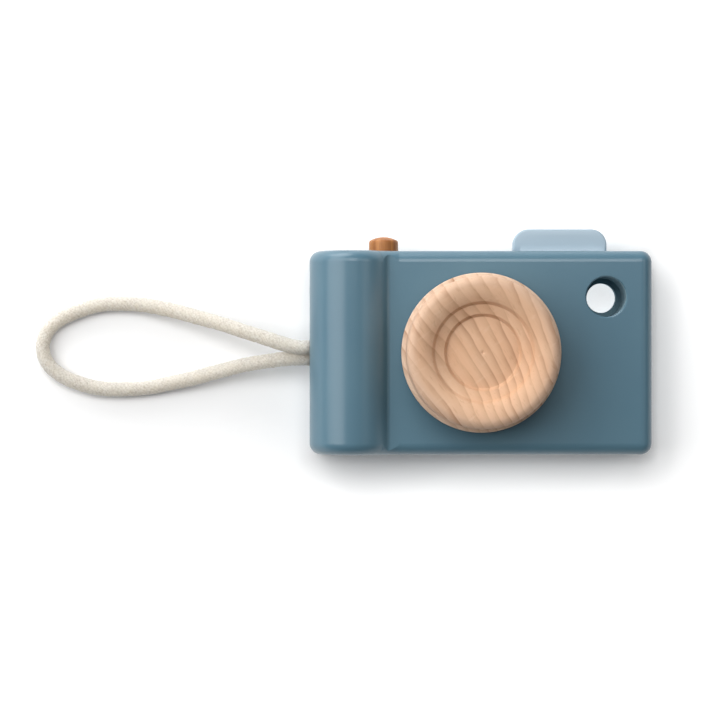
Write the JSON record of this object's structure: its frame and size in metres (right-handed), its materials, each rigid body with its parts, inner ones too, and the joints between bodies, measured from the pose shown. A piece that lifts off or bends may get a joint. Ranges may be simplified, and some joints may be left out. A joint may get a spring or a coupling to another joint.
{
  "type": "toy camera",
  "caption": "Painted wooden toy camera with a turned lens that rotates, a sprung shutter button, a see-through viewfinder and a cotton wrist cord.",
  "frame": {"origin": "centre of the body's back face, which lies on the surface", "axes": "+X across the camera to the right as seen from the front, +Y up the camera, +Z out of its front along the lens"},
  "size_m": [0.22, 0.08, 0.0497],
  "materials": {
    "body_paint": "satin grey-blue paint",
    "plate_paint": "satin light-blue paint",
    "natural_wood": "turned and oiled",
    "stained_wood": "brown stain",
    "cotton_cord": "braided cotton",
    "grey_felt": "pressed felt",
    "plated_steel": "zinc plated"
  },
  "bodies": {
    "camera": {"front_block": "body_paint", "back_panel": "body_paint", "panel_dowels": "natural_wood", "felt_washer": "grey_felt", "flash_plate": "plate_paint", "button_spring": "plated_steel", "wrist_cord": "cotton_cord", "cord_knot": "cotton_cord"},
    "lens": {"lens_knob": "natural_wood", "lens_spindle": "natural_wood", "spindle_washer": "plated_steel", "spindle_screw": "plated_steel"},
    "button": {"shutter_button": "stained_wood", "button_pin": "plated_steel"}
  },
  "joints": [
    {"name": "lens_turn", "type": "hinge", "parent": "camera", "child": "lens", "pos_m": [0, 0, 0.027], "axis": [0, 0, 1], "continuous": true},
    {"name": "button_press", "type": "slide", "parent": "camera", "child": "button", "axis": [0, -1, 0], "range_m": [0, 0.003], "stiffness_N_per_m": 400, "deforming": ["button_spring"]}
  ]
}
